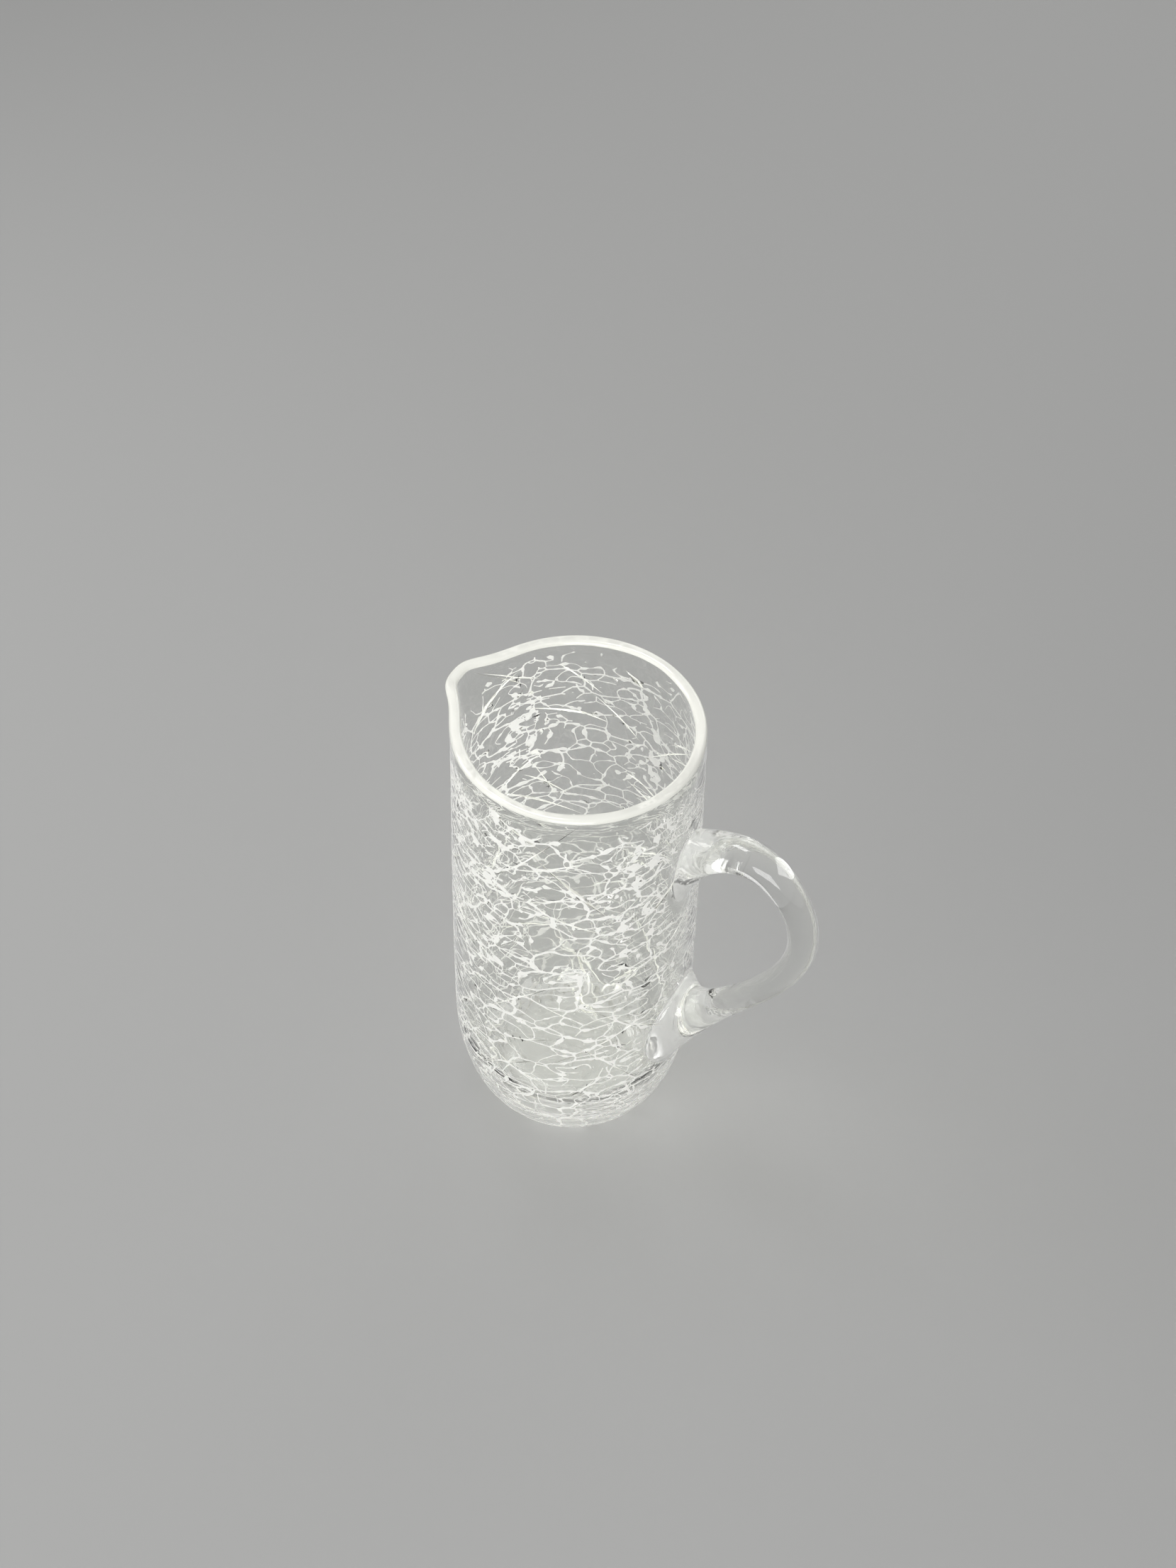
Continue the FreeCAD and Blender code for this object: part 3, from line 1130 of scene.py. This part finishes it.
    def eased(
        self,
        spot_of: dict[bmesh.types.BMVert, tuple[float, float]],
        vert: bmesh.types.BMVert,
        others: list[bmesh.types.BMVert],
        share: float,
    ) -> tuple[float, float]:
        """Moves a vertex towards the middle of some others.

        Args:
            spot_of: Angle and distance up the wall of each vertex.
            vert: The vertex.
            others: The other vertices.
            share: How much of the way it moves.

        Returns:
            Its new angle and distance up the wall.
        """
        turn, climb = spot_of[vert]
        turns = [half_turned(spot_of[other][0] - turn) for other in others]
        climbs = [spot_of[other][1] - climb for other in others]
        return turn + share * sum(turns) / len(others), climb + share * sum(climbs) / len(others)

    def engrave(self, bm: bmesh.types.BMesh) -> None:
        """Opens the cracks as fine grooves with whitish sides, wider and narrower along their length; the
        white is partly the frosted fracture and partly painted reflection of the light caught in the cracks.

        Args:
            bm: The jug's mesh.
        """
        cracked = self.cracked_edges(bm)
        self.straighten(bm, cracked)
        self.hollow(bm)
        crack_tree = KDTree(len(cracked))
        bolds = []
        for index, (edge, bold) in enumerate(cracked.items()):
            crack_tree.insert((edge.verts[0].co + edge.verts[1].co) * 0.5, index)
            bolds.append(bold)
        crack_tree.balance()
        made = bmesh.ops.bevel(
            bm,
            geom=list(cracked),
            offset=self.half_width,
            offset_type="OFFSET",
            segments=2,
            profile=0.5,
            affect="EDGES",
            clamp_overlap=False,
            material=-1,
        )
        grooves = set(made["faces"])
        bm.normal_update()
        groove_verts = {vert for face in grooves for vert in face.verts}
        valley = {vert for vert in groove_verts if all(face in grooves for face in vert.link_faces)}
        moves = {vert: vert.co - vert.normal * self.depth for vert in valley}
        for vert in groove_verts - valley:
            mids = [edge.other_vert(vert) for edge in vert.link_edges if edge.other_vert(vert) in valley]
            if mids:
                middle = sum((mid.co for mid in mids), Vector()) / len(mids)
                width = self.crack_width(vert.co, bolds[crack_tree.find(vert.co)[1]])
                moves[vert] = middle + (vert.co - middle) * width
        for vert, spot in moves.items():
            vert.co = self.kept_in(spot)
        # The groove faces get the white crack finish, partly painted reflection.
        for face in grooves:
            face.material_index = Finish.CRACK_PAINTED_BRIGHT
            for edge in face.edges:
                edge.smooth = all(other in grooves for other in edge.link_faces)
        LOG.info("cracks: %d edges, %d groove faces", len(cracked), len(grooves))

    def crack_width(self, spot: Vector, bold: float) -> float:
        """How wide a crack is at a spot of its edge.

        Args:
            spot: The spot.
            bold: How bold the crack is.

        Returns:
            The width in shares of the plain one, larger in the beads along it.
        """
        beads = max(self.beads.at(spot), 0.0) ** 2
        width = bold * (self.plain_width + self.width_change.at(spot)) + self.bead_width * beads * bold
        return min(max(width, self.width_limits[0]), self.width_limits[1])

    def kept_in(self, spot: Vector) -> Vector:
        """Keeps a spot within the plain wall.

        Args:
            spot: The spot.

        Returns:
            The spot, or the nearest one below it that isn't outside the plain wall.
        """
        body = self.body
        height = min(max(spot.z, 0.0), body.height)
        limit = body.place(math.atan2(spot.y, spot.x), body.plain_radius(height), height)
        share = min(math.hypot(limit.x, limit.y) / max(math.hypot(spot.x, spot.y), 1e-9), 1.0)
        return Vector((spot.x * share, spot.y * share, height))


@dataclass
class Jug:
    """The whole jug in one closed skin."""

    body: BlownBody = field(default_factory=BlownBody)
    # How far down from the rim the painted reflection on the lip reaches.
    painted_lip_depth: float = 2.6 * MM
    # How high, and with how ragged an edge, the painted bright finish of the foot reaches.
    painted_foot_top: float = 20.0 * MM
    painted_foot_reach: float = 9.0 * MM
    painted_foot_edges: tuple[Waver, ...] = (Waver(7.0 * MM, 7.0 * MM, 2.9), Waver(5.0 * MM, 2.5 * MM, 6.1))
    clear: GlassFinish = GlassFinish(
        name="clear_glass",
        tint=(1.0, 1.0, 0.99),
        shade=(0.96, 0.97, 0.95),
        transmission=1.0,
        roughness=(0.0, 0.04),
        patch_size=20.0 * MM,
        bump_height=0.3 * MM,
        shadow=(0.93, 0.93, 0.92),
        edge_light=0.4,
    )
    # Partly painted reflection: the crack faces are matte white without gloss, for the frosted fracture and
    # for the light reflected in the cracks.
    crack: GlassFinish = GlassFinish(
        name="crack_faces_painted_bright",
        tint=(1.0, 1.0, 0.96),
        shade=(0.95, 0.95, 0.905),
        transmission=0.06,
        roughness=(0.4, 0.65),
        patch_size=4.0 * MM,
        bump_height=0.2 * MM,
        shadow=(0.8, 0.8, 0.79),
        gloss=0.0,
        glow=1.0,
    )
    # Painted reflection: the lip's cream-white, mostly opaque finish stands in for the light reflected inside
    # the thick rim.
    lip: GlassFinish = GlassFinish(
        name="lip_painted_bright",
        tint=(1.0, 1.0, 0.93),
        shade=(0.95, 0.95, 0.88),
        transmission=0.2,
        roughness=(0.03, 0.16),
        patch_size=12.0 * MM,
        bump_height=0.3 * MM,
        shadow=(0.8, 0.8, 0.78),
        glow=0.3,
    )
    # Painted light: the foot's whitish, less clear finish stands in for the bright light caught in the thick
    # base.
    foot: GlassFinish = GlassFinish(
        name="foot_painted_bright",
        tint=(1.0, 1.0, 0.98),
        shade=(0.96, 0.97, 0.95),
        transmission=0.74,
        roughness=(0.08, 0.35),
        patch_size=6.0 * MM,
        bump_height=0.2 * MM,
        shadow=(0.9, 0.9, 0.89),
        glow=0.5,
    )
    # Partly painted reflection: the pads and rod ends are whitened both for cloudy glass and for the light
    # that brightens the handle's roots.
    pad: GlassFinish = GlassFinish(
        name="pads_cloudy_and_painted_bright",
        tint=(1.0, 1.0, 0.98),
        shade=(0.93, 0.94, 0.91),
        transmission=0.83,
        roughness=(0.0, 0.06),
        patch_size=6.0 * MM,
        bump_height=0.6 * MM,
        shadow=(0.92, 0.92, 0.91),
        glow=0.15,
        edge_light=0.6,
    )
    veil: GlassFinish = GlassFinish(
        name="rod_ends_veiled_and_painted_bright",
        tint=(1.0, 1.0, 0.98),
        shade=(0.95, 0.96, 0.93),
        transmission=0.93,
        roughness=(0.0, 0.05),
        patch_size=8.0 * MM,
        bump_height=0.6 * MM,
        shadow=(0.92, 0.92, 0.91),
        glow=0.05,
        edge_light=0.5,
    )

    def is_painted_lip(self, face: bmesh.types.BMFace) -> bool:
        """Whether the face belongs to the top of the lip, whose cream white is painted reflection of the
        light caught inside the rim.
        """
        return all(vert.co.z > self.body.height - self.painted_lip_depth for vert in face.verts)

    def is_painted_bright_foot(self, face: bmesh.types.BMFace) -> bool:
        """Whether a face belongs to the foot, which is painted whitish as a stand-in for the bright light
        caught in the thick base.

        Args:
            face: A face of the jug.

        Returns:
            True on the underside and on the lowest curve of the wall, up to a ragged edge.
        """
        spot = face.calc_center_median()
        if face.normal.z > 0.0 or spot.z > self.painted_foot_top:
            return False
        return spot.z < self.painted_foot_reach + sum(edge.at(spot) for edge in self.painted_foot_edges)

    def finish_faces(self, bm: bmesh.types.BMesh, handle: DrawnHandle) -> None:
        """Gives the faces between the cracks their finishes.

        Args:
            bm: The jug's mesh.
            handle: The handle, for its cloudy ends.
        """
        for face in bm.faces:
            plain = face.material_index == Finish.CLEAR
            # The top of the lip gets the painted reflection finish.
            if plain and self.is_painted_lip(face):
                face.material_index = Finish.LIP_PAINTED_BRIGHT
            # The underside and lowest curve get the painted bright foot finish.
            elif plain and self.is_painted_bright_foot(face):
                face.material_index = Finish.FOOT_PAINTED_BRIGHT
            else:
                cloud = handle.cloud_of(bm, face)
                if cloud is not None:
                    face.material_index = cloud
            face.smooth = True

    def build(self) -> bpy.types.Object:
        """Makes the jug.

        Returns:
            The finished object, standing in for the CAD node.
        """
        handle = DrawnHandle(self.body)
        bm = bmesh.new()
        self.body.spin(bm)
        LOG.info("spun wall: %d faces", len(bm.faces))
        handle.draw(bm)
        LOG.info("with handle: %d faces", len(bm.faces))
        Crackle(self.body, handle).engrave(bm)
        bmesh.ops.recalc_face_normals(bm, faces=bm.faces)
        self.finish_faces(bm, handle)
        loose = sum(1 for edge in bm.edges if not edge.is_manifold)
        LOG.info("edges that are not closed: %d, triangles: %d", loose, len(bm.calc_loop_triangles()))
        mesh = bpy.data.meshes.new("jug_glass")
        bm.to_mesh(mesh)
        bm.free()
        for finish in (self.clear, self.crack, self.lip, self.foot, self.pad, self.veil):
            mesh.materials.append(finish.material())
        piece = bpy.data.objects.new("jug_glass", mesh)
        bpy.context.scene.collection.objects.link(piece)
        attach(piece, "root")
        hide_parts("jug")
        return piece


@dataclass(frozen=True)
class SoftLamp:
    """A soft lamp: where it hangs, its width and height in metres, and its power in watts."""

    name: str
    spot: tuple[float, float, float]
    size: tuple[float, float]
    power: float

    def hang(self, target: Vector) -> None:
        """Hangs the lamp.

        Args:
            target: Where it points.
        """
        lamp = bpy.data.lights.new(self.name, "AREA")
        lamp.shape = "RECTANGLE"
        lamp.size, lamp.size_y = self.size
        lamp.energy = self.power
        holder = bpy.data.objects.new(self.name, lamp)
        holder.location = self.spot
        holder.rotation_euler = (target - Vector(self.spot)).to_track_quat("-Z", "Y").to_euler()
        bpy.context.scene.collection.objects.link(holder)


@dataclass
class Studio:
    """Pale floor, soft light and the camera of the photograph."""

    floor_colour: tuple[float, float, float] = (0.39, 0.39, 0.385)
    floor_size: float = 6.0
    floor_drop: float = 0.2 * MM
    lamps: tuple[SoftLamp, ...] = (
        SoftLamp("front", (0.5, -1.05, 0.5), (0.7, 0.6), 8.4),
        SoftLamp("left", (-1.0, -0.25, 0.6), (0.35, 0.6), 3.8),
        SoftLamp("top", (-0.3, 0.15, 1.15), (0.25, 0.45), 3.1),
        SoftLamp("back", (-0.1, 1.2, 0.7), (0.8, 0.4), 2.5),
    )
    lamp_target: tuple[float, float, float] = (0.0, 0.0, 0.1)
    surroundings_light: float = 0.42
    surroundings_seen: float = 0.8
    camera_turn: float = math.radians(28.75)
    camera_rise: float = math.radians(48.6)
    camera_roll: float = math.radians(1.6)
    camera_distance: float = 0.80547
    camera_aim: tuple[float, float] = (0.00363, 0.17183)
    focal_length: float = 3200.0
    picture_height: float = 2212.0

    def floor(self) -> None:
        """Lays the floor."""
        bm = bmesh.new()
        bmesh.ops.create_grid(bm, x_segments=4, y_segments=4, size=0.5 * self.floor_size)
        mesh = bpy.data.meshes.new("floor")
        bm.to_mesh(mesh)
        bm.free()
        material = bpy.data.materials.new("floor_card")
        material.use_nodes = True
        surface = material.node_tree.nodes["Principled BSDF"]
        surface.inputs["Base Color"].default_value = (*self.floor_colour, 1.0)
        surface.inputs["Roughness"].default_value = 0.85
        surface.inputs["Specular IOR Level"].default_value = 0.1
        mesh.materials.append(material)
        piece = bpy.data.objects.new("floor", mesh)
        piece.location = (0.0, 0.0, -self.floor_drop)
        bpy.context.scene.collection.objects.link(piece)

    def surroundings(self) -> None:
        """Sets the pale surroundings, which look brighter to the camera and in the glass than they light."""
        world = bpy.data.worlds.new("surroundings")
        world.use_nodes = True
        nodes, links = world.node_tree.nodes, world.node_tree.links
        ground = nodes["Background"]
        ground.inputs["Color"].default_value = (1.0, 1.0, 1.0, 1.0)
        path = nodes.new("ShaderNodeLightPath")
        in_glass = nodes.new("ShaderNodeMath")
        in_glass.operation = "MAXIMUM"
        seen = nodes.new("ShaderNodeMath")
        seen.operation = "MAXIMUM"
        level = nodes.new("ShaderNodeMapRange")
        level.inputs["To Min"].default_value = self.surroundings_light
        level.inputs["To Max"].default_value = self.surroundings_seen
        links.new(path.outputs["Is Glossy Ray"], in_glass.inputs[0])
        links.new(path.outputs["Is Transmission Ray"], in_glass.inputs[1])
        links.new(path.outputs["Is Camera Ray"], seen.inputs[0])
        links.new(in_glass.outputs[0], seen.inputs[1])
        links.new(seen.outputs[0], level.inputs["Value"])
        links.new(level.outputs["Result"], ground.inputs["Strength"])
        bpy.context.scene.world = world

    def camera(self) -> None:
        """Puts the camera where the photograph was taken."""
        turn, rise, roll = self.camera_turn, self.camera_rise, self.camera_roll
        back = Vector((math.sin(turn) * math.cos(rise), -math.cos(turn) * math.cos(rise), math.sin(rise)))
        right = Vector((math.cos(turn), math.sin(turn), 0.0))
        up = back.cross(right)
        across, height = self.camera_aim
        aim = Vector((across * math.cos(turn), across * math.sin(turn), height))
        rolled_right = right * math.cos(roll) + up * math.sin(roll)
        rolled_up = up * math.cos(roll) - right * math.sin(roll)
        camera = bpy.data.cameras.new("camera")
        camera.lens = camera.sensor_width * self.focal_length / self.picture_height
        camera.clip_start = 0.01
        stand = Matrix((rolled_right, rolled_up, back)).transposed().to_4x4()
        stand.translation = aim + back * self.camera_distance
        holder = bpy.data.objects.new("camera", camera)
        holder.matrix_world = stand
        bpy.context.scene.collection.objects.link(holder)
        bpy.context.scene.camera = holder

    def build(self) -> None:
        """Sets up everything round the jug."""
        self.floor()
        for lamp in self.lamps:
            lamp.hang(Vector(self.lamp_target))
        self.surroundings()
        self.camera()
        bpy.context.scene.view_settings.view_transform = "Standard"


def main() -> None:
    """Builds the jug and its surroundings, and notes the size of the jug's mesh."""
    logging.basicConfig(level=logging.INFO, format="%(message)s")
    Studio().build()
    jug = Jug().build()
    bpy.context.view_layer.update()
    LOG.info("jug: %d faces, %d vertices", len(jug.data.polygons), len(jug.data.vertices))


if __name__ == "__main__":
    main()
